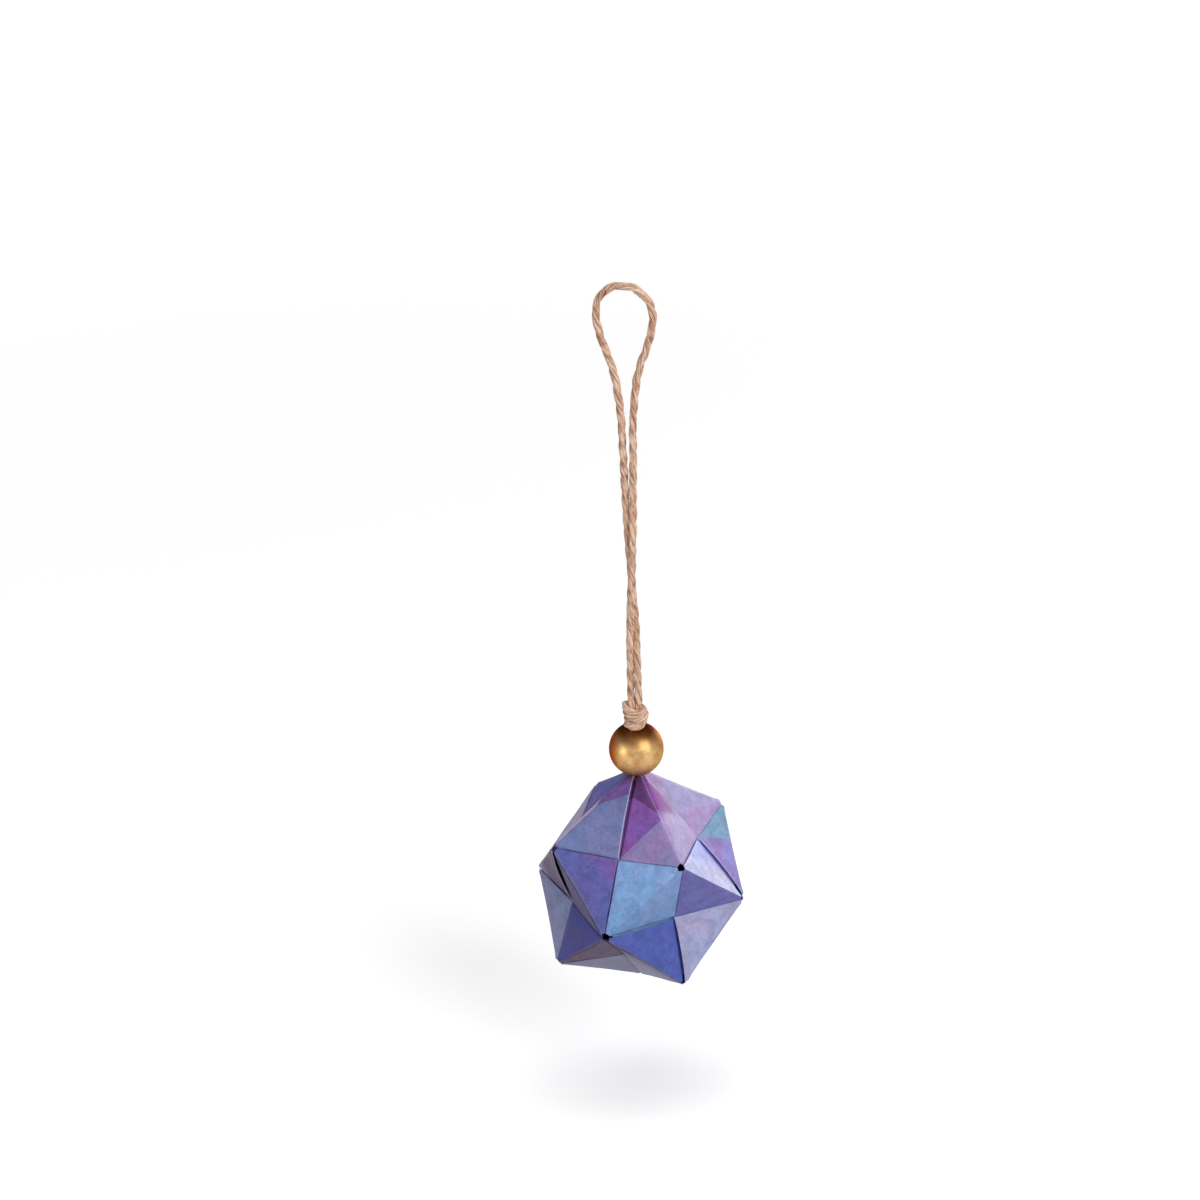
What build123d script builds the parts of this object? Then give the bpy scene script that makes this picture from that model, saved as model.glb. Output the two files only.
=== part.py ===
from build123d import *
import os
from math import pi, radians, sqrt, tan

# A paper ball of 24 folded units that hangs from a doubled twine loop. All sizes are in mm.
# The origin is the inside top of the loop, where a hook or peg bears, and everything hangs below it.

# The ball: how far each kind of point stands from its centre
top_tip_radius = 34.6  # four units meet here, drawn up by the twine
tip_radius = 28.5  # four units meet at each of the other five tips
corner_radius = 30.4  # three units meet at each of the eight corners
shoulder_radius = 22.5  # the four valleys beside the top tip
valley_radius = 19.4  # the other eight valleys

# The folded paper
paper = 0.3  # thickness of one folded layer
layer_gap = 0.15  # clearance between a tab and the pocket round it
fold_width = 0.8  # the closed fold along a facet's tab edge
mouth_gap = 0.12  # a pocket's mouth stands back this far from the valley
lining_inset = 1.0  # the pocket's back layer stands back this far from its mouth
tab_clearance = 0.4  # a tab's edges from the fold and ridge of the pocket that holds it
tab_root = 0.3  # how far a tab is rooted in its own fold
tip_hole = 0.7  # open corner at each tip, measured along its edges
hole_clearance = 0.26  # between the twine and the open corner at the top tip
lining_cut = 2.5  # the back layer is cut back this much more at a tip
crown_lining_cut = 5.0  # and this much more at the top tip, clear of the stop knot
tab_cut = 1.0  # a tab is cut back this much more at a tip

# The twine and its two knots
twine_radius = 1.0
squeezed_radius = 0.85  # the twine is squeezed inside the bead
strand_gap = 0.1  # between the two strands there
knot_height = 6.6
knot_radius = 3.15
knot_end_radius = 2.3
stop_knot_height = 6.2
stop_knot_radius = 3.9
stop_knot_top_radius = 2.0
stop_knot_foot_radius = 2.4
stop_knot_shoulder = 2.2  # height of its sloping top, which bears under the crown
stop_knot_clearance = 0.42  # between it and the crown's layers above it

# The bead
bead_radius = 7.0
bore_clearance = 0.45  # between the strands and the bore
bore_lip = 0.5  # rounding at each mouth of the bore
seat_gap = 0.05  # between pieces that rest on each other

# The loop's route from the upper knot: x, y and the height above the knot's top.
# The two strands turn half round each other, then run straight and open into an eye.
rising_route = [
    (-1.2, 0.0, 0.0),
    (-1.2, 0.0, 10.0),
    (-0.9, -0.8, 21.0),
    (0.1, -1.2, 33.0),
    (1.0, -0.7, 45.0),
    (1.3, 0.1, 58.0),
    (1.6, 0.2, 86.0),
    (6.9, 0.1, 99.0),
    (7.3, 0.0, 106.0),
    (3.1, 0.0, 110.4),
]
falling_route = [(-x, -y, height) for x, y, height in reversed(rising_route)]
corner_share = 0.45  # of the shorter run, which each arc of the route takes up

# The two strands lie side by side in the bead, under two ridges of the crown.
squeezed_spacing = squeezed_radius + strand_gap / 2
strand_place = squeezed_spacing / sqrt(2)
bore_radius = squeezed_spacing + squeezed_radius + bore_clearance

# Heights of the pieces on the hanging line, from the loop's top down
knot_top_z = twine_radius - rising_route[-1][2]
knot_foot_z = knot_top_z - knot_height
mouth_radius = bore_radius + bore_lip
mouth_height = sqrt(bead_radius**2 - mouth_radius**2)
bead_z = knot_foot_z - seat_gap - mouth_height

up = Vector(0, 0, 1)


def place(direction):
    """The tip, valley or corner that lies that way from the ball's centre."""
    axes = round(direction.length**2)
    radius = {1: tip_radius, 2: valley_radius, 3: corner_radius}[axes]
    if axes == 1 and direction.Z > 0:
        radius = top_tip_radius
    if axes == 2 and direction.Z > 0:
        radius = shoulder_radius
    return direction.normalized() * radius


# The top tip is cut open along its edges until the strands pass between its four valleys.
crown = (place(up), place(Vector(1, 1, 1)), place(Vector(0, 1, 1)))
crown_edge = (crown[2] - crown[0]).normalized()
twine_hole = (strand_place + squeezed_radius + hole_clearance) / crown_edge.Y


def shifted(point, toward, distance):
    """The point moved that far towards another."""
    return point + (toward - point).normalized() * distance


def hole_at(point):
    """How far the paper is open at a tip or corner, along each of its edges."""
    return twine_hole if point == place(up) else tip_hole


# The bead sits on the rim of the crown's hole, where its ridges end.
crown_rim = shifted(place(up), place(Vector(1, 1, 1)), twine_hole)
rim_radius = sqrt(crown_rim.X**2 + crown_rim.Y**2)
bead_height = crown_rim.Z + sqrt(bead_radius**2 - rim_radius**2) + seat_gap
ball_centre = Vector(0, 0, bead_z - bead_height)

# The stop knot's top and its shoulder both stay clear of the crown's innermost layer.
layers_depth = 3 * paper + 2 * layer_gap
crown_normal = (crown[2] - crown[0]).cross(crown[1] - crown[0]).normalized()
crown_slope = sqrt(crown_normal.X**2 + crown_normal.Y**2)
knot_depth = abs(crown[0].dot(crown_normal)) - layers_depth - stop_knot_clearance
knot_shoulder_radius = stop_knot_radius - bore_lip
stop_knot_top_z = ball_centre.Z + min(
    (knot_depth - crown_slope * stop_knot_top_radius) / abs(crown_normal.Z),
    (knot_depth - crown_slope * knot_shoulder_radius) / abs(crown_normal.Z) + stop_knot_shoulder,
)


def inset(facet, margins):
    """A facet's corners after the edge opposite each one is moved in by its margin."""
    area = (facet[1] - facet[0]).cross(facet[2] - facet[0]).length
    shares = [
        margin * (facet[index - 1] - facet[index - 2]).length / area
        for index, margin in enumerate(margins)
    ]
    total = sum(shares)
    pull = facet[0] * shares[0] + facet[1] * shares[1] + facet[2] * shares[2]
    return [corner * (1 - total) + pull for corner in facet]


def blunted(outline, cuts):
    """An outline with each corner cut off at its distance along both edges."""
    points = []
    for index, (corner, cut) in enumerate(zip(outline, cuts)):
        before = outline[index - 1]
        after = outline[(index + 1) % len(outline)]
        points.append(shifted(corner, before, cut))
        if cut > 0:
            points.append(shifted(corner, after, cut))
    return points


def layer(facet, outline, outer_depth, inner_depth):
    """The points of a flat layer of paper between two depths under a facet."""
    normal = (facet[1] - facet[0]).cross(facet[2] - facet[0]).normalized()
    height = abs(facet[0].dot(normal))
    return [
        ball_centre + corner * (1 - depth / height)
        for depth in (outer_depth, inner_depth)
        for corner in outline
    ]


def facet_layers(valley, mouth_tip, tab_tip, next_tip):
    """One facet of a unit as its skin, closed fold, pocket lining and tab."""
    facet = (valley, mouth_tip, tab_tip)
    skin = inset(facet, (0, 0, mouth_gap))
    skin_outline = blunted(skin, (0, hole_at(mouth_tip), hole_at(tab_tip)))

    fold_share = fold_width / inset_height(facet, 1)
    fold_end = shifted(skin[2], skin[0], hole_at(tab_tip))
    fold_outline = [skin[0], fold_end] + [
        corner + (skin[1] - corner) * fold_share for corner in (skin[0], fold_end)
    ]

    lining = inset(facet, (0, 0, lining_inset))
    lining_cuts = [0, 0, 0]
    for index, tip in ((1, mouth_tip), (2, tab_tip)):
        more = crown_lining_cut if tip == place(up) else lining_cut
        lining_cuts[index] = hole_at(tip) + more
    lining_outline = blunted(lining, lining_cuts)

    pocket = (valley, tab_tip, next_tip)
    tab = inset(pocket, (tab_clearance, fold_width + tab_clearance, -tab_root))
    tab_outline = blunted(
        tab, (tab_cut, hole_at(tab_tip) + tab_cut, hole_at(next_tip) + tab_cut)
    )

    lining_depth = 2 * (paper + layer_gap)
    return [
        layer(facet, skin_outline, 0, paper),
        layer(facet, fold_outline, 0, lining_depth + paper),
        layer(facet, lining_outline, lining_depth, lining_depth + paper),
        layer(pocket, tab_outline, paper + layer_gap, lining_depth - layer_gap),
    ]


def inset_height(facet, index):
    """A facet's height over the edge that is opposite one of its corners."""
    edge = facet[index - 1] - facet[index - 2]
    return (facet[1] - facet[0]).cross(facet[2] - facet[0]).length / edge.length


def unit_layers(tip_way, first_way, second_way):
    """All layers of the unit whose ridge runs from a tip to the corner between three ways."""
    corner_way = tip_way + first_way + second_way
    tip, corner = place(tip_way), place(corner_way)
    layers = []
    for side, other in ((first_way, second_way), (second_way, first_way)):
        valley = place(tip_way + side)
        turn = (tip - valley).cross(corner - valley).dot(valley)
        if turn > 0:
            layers += facet_layers(valley, tip, corner, place(side))
        else:
            layers += facet_layers(
                valley, corner, tip, place(tip_way + side - other)
            )
    return layers


# The eight corners, in order round the ball, and the three ways that meet at each
quarters = [(-1, -1), (1, -1), (1, 1), (-1, 1)]
units = {}
for z, tip_name, belt_name in ((1, "crown_unit", "upper_unit"), (-1, "base_unit", "lower_unit")):
    pole = Vector(0, 0, z)
    for number, (x, y) in enumerate(quarters):
        side_x, side_y = Vector(x, 0, 0), Vector(0, y, 0)
        units[f"{tip_name}_{number + 1}"] = (pole, side_x, side_y)
        units[f"{belt_name}_{2 * number + 1}"] = (side_x, side_y, pole)
        units[f"{belt_name}_{2 * number + 2}"] = (side_y, side_x, pole)

os.makedirs("parts", exist_ok=True)

# Paper units: each is one folded sheet with two facets, two tabs and two pockets
for name, ways in units.items():
    with BuildPart() as unit:
        for points in unit_layers(*ways):
            ConvexPolyhedron(points)
    unit.part.label = name
    export_step(unit.part, f"parts/{name}.step")

# Bead: a ball with a bore whose mouths are broken to a lip
with BuildPart() as bead:
    with BuildSketch(Plane.XZ):
        with BuildLine():
            ThreePointArc(
                (mouth_radius, bead_z + mouth_height),
                (bead_radius, bead_z),
                (mouth_radius, bead_z - mouth_height),
            )
            Polyline(
                (mouth_radius, bead_z - mouth_height),
                (bore_radius, bead_z - mouth_height + bore_lip),
                (bore_radius, bead_z + mouth_height - bore_lip),
                (mouth_radius, bead_z + mouth_height),
            )
        make_face()
    revolve(axis=Axis.Z)
bead.part.label = "bead"
export_step(bead.part, "parts/bead.step")

# Upper knot: the doubled twine knotted above the bead
with BuildPart() as upper_knot:
    with BuildSketch(Plane.XZ):
        with BuildLine():
            ThreePointArc(
                (knot_end_radius, knot_foot_z),
                (knot_radius, knot_foot_z + knot_height / 2),
                (knot_end_radius, knot_top_z),
            )
            Polyline(
                (knot_end_radius, knot_top_z),
                (0, knot_top_z),
                (0, knot_foot_z),
                (knot_end_radius, knot_foot_z),
            )
        make_face()
    revolve(axis=Axis.Z)
upper_knot.part.label = "upper_knot"
export_step(upper_knot.part, "parts/upper_knot.step")

# Stop knot: inside the ball, too big for the crown's hole, it carries the ball
with BuildPart() as stop_knot:
    with BuildSketch(Plane.XZ):
        with BuildLine():
            foot_z = stop_knot_top_z - stop_knot_height
            shoulder_z = stop_knot_top_z - stop_knot_shoulder
            ThreePointArc(
                (stop_knot_foot_radius, foot_z),
                (stop_knot_radius, (foot_z + shoulder_z) / 2),
                (knot_shoulder_radius, shoulder_z),
            )
            Polyline(
                (knot_shoulder_radius, shoulder_z),
                (stop_knot_top_radius, stop_knot_top_z),
                (0, stop_knot_top_z),
                (0, foot_z),
                (stop_knot_foot_radius, foot_z),
            )
        make_face()
    revolve(axis=Axis.Z)
stop_knot.part.label = "stop_knot"
export_step(stop_knot.part, "parts/stop_knot.step")

# The two strands between the knots, through the bead and the crown's hole.
# They lie side by side under two ridges, where the hole is widest.
for name, side in (("bead_strand_left", -1), ("bead_strand_right", 1)):
    with BuildPart() as strand:
        with BuildSketch(Plane.XY.offset(stop_knot_top_z)):
            with Locations((side * strand_place, side * strand_place)):
                Circle(squeezed_radius)
        extrude(amount=knot_foot_z - stop_knot_top_z)
    strand.part.label = name
    export_step(strand.part, f"parts/{name}.step")

# Hanging loop: one tube of straight runs joined by tangent arcs
route = [Vector(x, y, knot_top_z + height) for x, y, height in rising_route + falling_route]
runs = [after - before for before, after in zip(route, route[1:])]
radii = [
    corner_share
    * min(before.length, after.length)
    / tan(radians(before.get_angle(after)) / 2)
    for before, after in zip(runs, runs[1:])
]
print("loop radii", [round(radius, 1) for radius in radii])
with BuildPart() as hanging_loop:
    with BuildLine() as loop_line:
        FilletPolyline(*route, radius=radii)
    with BuildSketch(Plane(origin=route[0], z_dir=runs[0])):
        Circle(twine_radius)
    sweep(path=loop_line.wire())
hanging_loop.part.label = "hanging_loop"
export_step(hanging_loop.part, "parts/hanging_loop.step")
loop_length = loop_line.wire().length
print("loop length", round(loop_length, 1))
print("tube volume over section times length", hanging_loop.part.volume / (pi * twine_radius**2 * loop_length))
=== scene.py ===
import random
from math import acos, cos, exp, hypot, pi, radians, sin, sqrt, tan

import bmesh
import bpy
from mathutils import Matrix, Vector, noise


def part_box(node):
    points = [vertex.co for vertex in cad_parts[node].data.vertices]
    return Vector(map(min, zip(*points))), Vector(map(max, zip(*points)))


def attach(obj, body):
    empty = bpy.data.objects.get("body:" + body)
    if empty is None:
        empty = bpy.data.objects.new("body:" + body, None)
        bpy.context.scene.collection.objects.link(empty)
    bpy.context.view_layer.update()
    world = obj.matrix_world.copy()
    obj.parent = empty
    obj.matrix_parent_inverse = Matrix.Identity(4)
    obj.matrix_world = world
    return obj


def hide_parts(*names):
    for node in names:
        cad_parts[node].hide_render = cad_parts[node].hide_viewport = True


# A kusudama paper ball with a gold bead, two knots and a doubled twine loop.
# Shapes are worked out in millimetres and written to each mesh in metres.

MM = 0.001

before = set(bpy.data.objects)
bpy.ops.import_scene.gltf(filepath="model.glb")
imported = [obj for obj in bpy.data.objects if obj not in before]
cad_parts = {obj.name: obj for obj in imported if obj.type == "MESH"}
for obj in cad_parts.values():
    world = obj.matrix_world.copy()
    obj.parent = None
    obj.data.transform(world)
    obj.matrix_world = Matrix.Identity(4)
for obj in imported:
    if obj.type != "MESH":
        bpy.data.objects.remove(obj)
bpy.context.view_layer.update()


# -------- camera

view_azimuth = radians(20.0)
view_elevation = radians(25.3)
view_roll = radians(-1.93)
view_distance = 650.0
aim_left = 7.97  # the aim stands this far left of the hanging line
aim_height = -80.35


def new_object(name, data):
    made = bpy.data.objects.new(name, data)
    bpy.context.collection.objects.link(made)
    return made


back = Vector((
    sin(view_azimuth) * cos(view_elevation),
    -cos(view_azimuth) * cos(view_elevation),
    sin(view_elevation),
))
level = Vector((cos(view_azimuth), sin(view_azimuth), 0))
rise = back.cross(level)
across = level * cos(view_roll) + rise * sin(view_roll)
upright = rise * cos(view_roll) - level * sin(view_roll)
aim = Vector((-aim_left * level.x, -aim_left * level.y, aim_height))

camera_data = bpy.data.cameras.new("camera")
camera_data.lens = 78.6
camera_data.sensor_width = 36.0
camera_data.clip_start = 0.01
camera = new_object("camera", camera_data)
turned = Matrix((across, upright, back)).transposed().to_4x4()
camera.matrix_world = Matrix.Translation((aim + back * view_distance) * MM) @ turned
bpy.context.scene.camera = camera


# -------- sizes

# The ball, as radii of its points from its centre
top_tip_radius = 34.6
tip_radius = 28.5
corner_radius = 30.4
shoulder_radius = 22.5
valley_radius = 19.4
tip_hole = 1.5
twine_hole = 2.7

# The paper, as depths below a facet's plane
paper = 0.26
tab_depth = 0.44  # inside a pocket
seam_step = 0.2  # at a closed seam
lining_depth = 1.5

bead_low, bead_high = (Vector(corner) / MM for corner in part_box("bead"))
bead_centre = (bead_low + bead_high) / 2
bead_radius = (bead_high.x - bead_low.x) / 2
bore_radius = 2.2
bore_lip = 0.5
seat_gap = 0.05

twine_radius = 1.0
squeezed_radius = 0.85
knot_twine_radius = 0.95
twist_pitch = 14.0


def as_way(*axes):
    return Vector(axes)


def place(way):
    """The tip, valley or corner that lies that way from the ball's centre."""
    axes = round(way.length_squared)
    radius = {1: tip_radius, 2: valley_radius, 3: corner_radius}[axes]
    if axes == 1 and way.z > 0:
        radius = top_tip_radius
    if axes == 2 and way.z > 0:
        radius = shoulder_radius
    return way.normalized() * radius


def hole_at(way):
    """How far the paper is open at a tip or corner, along each of its edges."""
    return twine_hole if way == as_way(0, 0, 1) else tip_hole


def toward(point, other, distance):
    return point + (other - point).normalized() * distance


def smooth(value):
    """A soft step from 0 to 1."""
    value = min(max(value, 0.0), 1.0)
    return value * value * (3 - 2 * value)


# The bead sits on the rim of the crown's hole.
crown_rim = toward(place(as_way(0, 0, 1)), place(as_way(1, 1, 1)), twine_hole)
rim_radius = hypot(crown_rim.x, crown_rim.y)
bead_height = crown_rim.z + sqrt(bead_radius**2 - rim_radius**2) + seat_gap
ball_centre = bead_centre - as_way(0, 0, bead_height)


# -------- mesh helpers


def new_piece(name, mesh, slot, *nodes):
    """An object for a finished mesh, in place of its CAD nodes."""
    piece = new_object(name, mesh)
    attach(piece, "root")
    if nodes:
        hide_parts(*nodes)
    return piece


def settle(piece):
    """Applies a piece's modifiers and shades it smooth up to the sharp angle."""
    graph = bpy.context.evaluated_depsgraph_get()
    mesh = bpy.data.meshes.new_from_object(piece.evaluated_get(graph))
    piece.modifiers.clear()
    piece.data = mesh
    mesh.polygons.foreach_set("use_smooth", [True] * len(mesh.polygons))
    mesh.set_sharp_from_angle(angle=sharp_angle)


route_resolution = 24


def smooth_line(points):
    """Points along the NURBS line that a route's points control."""
    curve = bpy.data.curves.new("route", "CURVE")
    curve.dimensions = "3D"
    curve.resolution_u = route_resolution
    spline = curve.splines.new("NURBS")
    spline.points.add(len(points) - 1)
    for control, point in zip(spline.points, points):
        control.co = (*point, 1)
    spline.order_u = 3
    spline.use_endpoint_u = True
    holder = new_object("route", curve)
    bpy.context.view_layer.update()
    graph = bpy.context.evaluated_depsgraph_get()
    mesh = bpy.data.meshes.new_from_object(holder.evaluated_get(graph))
    line = [vertex.co.copy() for vertex in mesh.vertices]
    bpy.data.objects.remove(holder)
    bpy.data.meshes.remove(mesh)
    bpy.data.curves.remove(curve)
    return line


def evenly(line, step):
    """The same line with points a step apart."""
    lengths = [0.0]
    for before, after in zip(line, line[1:]):
        lengths.append(lengths[-1] + (after - before).length)
    count = max(2, round(lengths[-1] / step))
    points = []
    index = 0
    for number in range(count + 1):
        target = lengths[-1] * number / count
        while index < len(line) - 2 and lengths[index + 1] < target:
            index += 1
        run = max(lengths[index + 1] - lengths[index], 1e-9)
        points.append(line[index].lerp(line[index + 1], (target - lengths[index]) / run))
    return points


def frames_along(line):
    """A tangent and two steady side directions at each point of a line."""
    tangents = []
    for index in range(len(line)):
        before = line[max(index - 1, 0)]
        after = line[min(index + 1, len(line) - 1)]
        tangents.append((after - before).normalized())
    side = tangents[0].orthogonal().normalized()
    frames = []
    for tangent in tangents:
        side = (side - tangent * side.dot(tangent)).normalized()
        frames.append((tangent, side, tangent.cross(side)))
    return frames


# -------- twine

ply_radius = 0.52  # of a ply, as a share of the twine's radius
ply_offset = 0.46
ply_sides = 18
ply_count = 3
ring_step = 0.3


def add_ply(verts, faces, space, line, frames, radius, phase, seed):
    """One ply of a twine: a lumpy tube that winds round the twine's line."""
    first = len(verts)
    pitch = twist_pitch * radius / twine_radius
    along = 0.0
    for index, (centre, (tangent, side, other)) in enumerate(zip(line, frames)):
        if index:
            along += (centre - line[index - 1]).length
        turn = phase - 2 * pi * along / pitch
        out = side * cos(turn) + other * sin(turn)
        around = other * cos(turn) - side * sin(turn)
        swell = 1 + 0.16 * noise.noise(Vector((along * 0.35, seed * 7.1, phase)))
        middle = centre + out * (ply_offset * radius * swell)
        for number in range(ply_sides):
            angle = 2 * pi * number / ply_sides
            strand = 0.05 * cos(6 * angle + along * 0.9 + seed)
            spot = Vector((cos(angle) * 2, sin(angle) * 2, along * 0.55 + seed * 3.3))
            grain = 0.07 * noise.noise(spot)
            reach = ply_radius * radius * (swell + strand + grain)
            outward_by, around_by = cos(angle) * reach, sin(angle) * reach
            verts.append(middle + out * outward_by + around * (around_by * 1.06))
            space.append((outward_by, around_by, along + seed * 40 + phase * 9))
    rings = len(line)
    for ring in range(rings - 1):
        for number in range(ply_sides):
            low = first + ring * ply_sides
            after = (number + 1) % ply_sides
            high = low + ply_sides
            faces.append((low + number, low + after, high + after, high + number))
    faces.append(tuple(reversed(range(first, first + ply_sides))))
    last = first + (rings - 1) * ply_sides
    faces.append(tuple(range(last, last + ply_sides)))


def twine_mesh(name, lines, radius, seed):
    """Three-ply twine along one or more lines, with each ply's own coordinates kept."""
    verts, faces, space = [], [], []
    for number, line in enumerate(lines):
        points = evenly(line, ring_step)
        frames = frames_along(points)
        for ply in range(ply_count):
            phase = 2 * pi * ply / ply_count + number * 0.9
            add_ply(verts, faces, space, points, frames, radius, phase, seed + number * 5 + ply)
    mesh = bpy.data.meshes.new(name)
    mesh.from_pydata([vert * MM for vert in verts], [], faces)
    layer = mesh.attributes.new("ply_space", "FLOAT_VECTOR", "POINT")
    layer.data.foreach_set("vector", [value for point in space for value in point])
    mesh.polygons.foreach_set("use_smooth", [True] * len(mesh.polygons))
    mesh.update()
    return mesh


# The loop's route, from the upper knot's top: x, y and height
rising_route = [
    (-1.0, 0.0, 0.0),
    (-0.95, -0.1, 10.0),
    (-0.6, -0.75, 21.0),
    (0.2, -0.92, 33.0),
    (0.8, -0.5, 45.0),
    (1.0, 0.1, 58.0),
    (1.6, 0.2, 86.0),
    (6.9, 0.1, 99.0),
    (7.3, 0.0, 106.0),
    (3.1, 0.0, 110.4),
]
falling_route = [(-x, -y, height) for x, y, height in reversed(rising_route)]
knot_low, knot_high = (Vector(corner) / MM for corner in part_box("upper_knot"))
loop_points = [
    Vector((x, y, knot_high.z + height)) for x, y, height in rising_route + falling_route
]
loop_line = evenly(smooth_line(loop_points), ring_step)
hanging_loop = new_piece(
    "twine_loop", twine_mesh("twine_loop", [loop_line], twine_radius, 1), "twine", "hanging_loop"
)

# A knot in the doubled twine: x, y, height and the two strands' half spacing,
# for a knot one unit in radius and one in height
knot_route = [
    ((0.0, 0.0, 1.14), (0.3, 0.0, 0.0)),
    ((0.0, -0.16, 0.96), (0.28, 0.0, 0.0)),
    ((0.0, -0.12, 0.6), (0.25, 0.0, 0.0)),
    ((-0.25, 0.6, 0.3), (0.0, 0.0, 0.09)),
    ((-0.8, 0.12, 0.2), (0.02, 0.0, 0.09)),
    ((-0.42, -0.76, 0.23), (0.0, 0.04, 0.09)),
    ((0.42, -0.74, 0.24), (0.0, 0.02, 0.09)),
    ((0.82, 0.06, 0.36), (0.0, 0.0, 0.09)),
    ((0.3, 0.8, 0.6), (0.0, 0.0, 0.09)),
    ((-0.56, 0.56, 0.78), (0.0, 0.0, 0.1)),
    ((-0.88, -0.12, 0.8), (-0.06, 0.0, 0.13)),
    ((-0.4, -0.86, 0.68), (0.0, 0.08, 0.1)),
    ((0.46, -0.8, 0.6), (-0.05, 0.08, 0.1)),
    ((0.86, -0.06, 0.62), (-0.08, 0.0, 0.1)),
    ((0.4, 0.46, 0.66), (-0.08, 0.0, 0.1)),
    ((-0.16, 0.24, 0.76), (0.1, 0.0, 0.08)),
    ((0.2, 0.1, 0.42), (0.15, 0.1, 0.05)),
    ((0.0, 0.0, 0.2), (0.3, 0.0, 0.0)),
    ((0.0, 0.0, -0.06), (0.3, 0.0, 0.0)),
]


def knot_piece(name, node, seed):
    """A knot in the doubled twine that fills its CAD node's box."""
    low, high = (Vector(corner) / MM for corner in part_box(node))
    radius = (high.x - low.x) / 2
    height = high.z - low.z
    turn = Matrix.Rotation(view_azimuth, 3, "Z")
    lines = []
    for side in (-1, 1):
        points = []
        for place_at, spacing in knot_route:
            flat = [place_at[k] + side * spacing[k] for k in range(3)]
            point = turn @ Vector((flat[0] * radius, flat[1] * radius, 0))
            points.append(point + Vector((0, 0, low.z + flat[2] * height)))
        lines.append(smooth_line(points))
    mesh = twine_mesh(name, lines, knot_twine_radius, seed)
    return new_piece(name, mesh, "twine", node)


knots = [
    knot_piece("knot_above_bead", "upper_knot", 21),
    knot_piece("knot_inside_ball", "stop_knot", 42),
]
strands = []
for seed, node in ((60, "bead_strand_left"), (70, "bead_strand_right")):
    low, high = (Vector(corner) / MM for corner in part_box(node))
    middle = (low + high) / 2
    line = [Vector((middle.x, middle.y, z)) for z in (high.z, middle.z, low.z)]
    mesh = twine_mesh("twine_" + node, [line], squeezed_radius, seed)
    strands.append(new_piece("twine_" + node, mesh, "twine", node))

# Loose fibres that stand off the twine and the knot
loop_fuzz_count = 420
knot_fuzz_count = 60
fuzz_radius = 0.022
fuzz_rings = 7
fuzz_root = 0.7  # where a hair starts, as a share of the twine's radius
knot_fuzz_root = 0.8
rng = random.Random(5)


def fuzz_mesh(name, anchors):
    """Short bent hairs, each a thin three-sided tube that starts inside the twine."""
    verts, faces = [], []
    for root, tangent, out in anchors:
        length = rng.uniform(0.7, 2.6)
        lean = rng.uniform(0.3, 1.6) * rng.choice((-1, 1))
        heading = (out + tangent * lean).normalized()
        bend = Vector([rng.uniform(-1, 1) for _ in range(3)]) * 0.22
        point = root.copy()
        first = len(verts)
        for ring in range(fuzz_rings):
            share = ring / (fuzz_rings - 1)
            size = fuzz_radius * (1 - 0.7 * share)
            side = heading.orthogonal().normalized()
            other = heading.cross(side)
            for number in range(3):
                angle = 2 * pi * number / 3
                rim = point + side * (cos(angle) * size) + other * (sin(angle) * size)
                verts.append(rim * MM)
            heading = (heading + bend).normalized()
            point = point + heading * (length / fuzz_rings)
        for ring in range(fuzz_rings - 1):
            for number in range(3):
                low = first + ring * 3
                after = (number + 1) % 3
                faces.append((low + number, low + after, low + 3 + after, low + 3 + number))
        faces.append((first + 2, first + 1, first))
        last = first + (fuzz_rings - 1) * 3
        faces.append((last, last + 1, last + 2))
    mesh = bpy.data.meshes.new(name)
    mesh.from_pydata(verts, [], faces)
    mesh.update()
    return mesh


anchors = []
loop_frames = frames_along(loop_line)
for _ in range(loop_fuzz_count):
    index = rng.randrange(4, len(loop_line) - 4)
    tangent, side, other = loop_frames[index]
    angle = rng.uniform(0, 2 * pi)
    out = side * cos(angle) + other * sin(angle)
    anchors.append((loop_line[index] + out * fuzz_root * twine_radius, tangent, out))
knot_middle = (knot_low + knot_high) / 2
knot_reach = (knot_high.x - knot_low.x) / 2
for _ in range(knot_fuzz_count):
    angle = rng.uniform(0, 2 * pi)
    out = Vector((cos(angle), sin(angle), 0))
    height = rng.uniform(-0.4, 0.4) * (knot_high.z - knot_low.z)
    root = knot_middle + out * knot_reach * knot_fuzz_root + Vector((0, 0, height))
    anchors.append((root, Vector((-out.y, out.x, 0.3)), out))
fuzz = new_piece("twine_fuzz", fuzz_mesh("twine_fuzz", anchors), "twine")


# -------- bead

bead_sides = 160
bead_steps = 64
lip_steps = 6


def lathe_mesh(name, profile, sides):
    """A closed profile of radius and height, turned round the hanging line."""
    verts, faces = [], []
    count = len(profile)
    for number in range(sides):
        angle = 2 * pi * number / sides
        for radius, height in profile:
            verts.append((cos(angle) * radius * MM, sin(angle) * radius * MM, height * MM))
    for number in range(sides):
        after = (number + 1) % sides
        for index in range(count):
            above = (index + 1) % count
            faces.append((
                number * count + index, after * count + index,
                after * count + above, number * count + above,
            ))
    mesh = bpy.data.meshes.new(name)
    mesh.from_pydata(verts, [], faces)
    mesh.polygons.foreach_set("use_smooth", [True] * len(faces))
    mesh.update()
    return mesh


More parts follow.
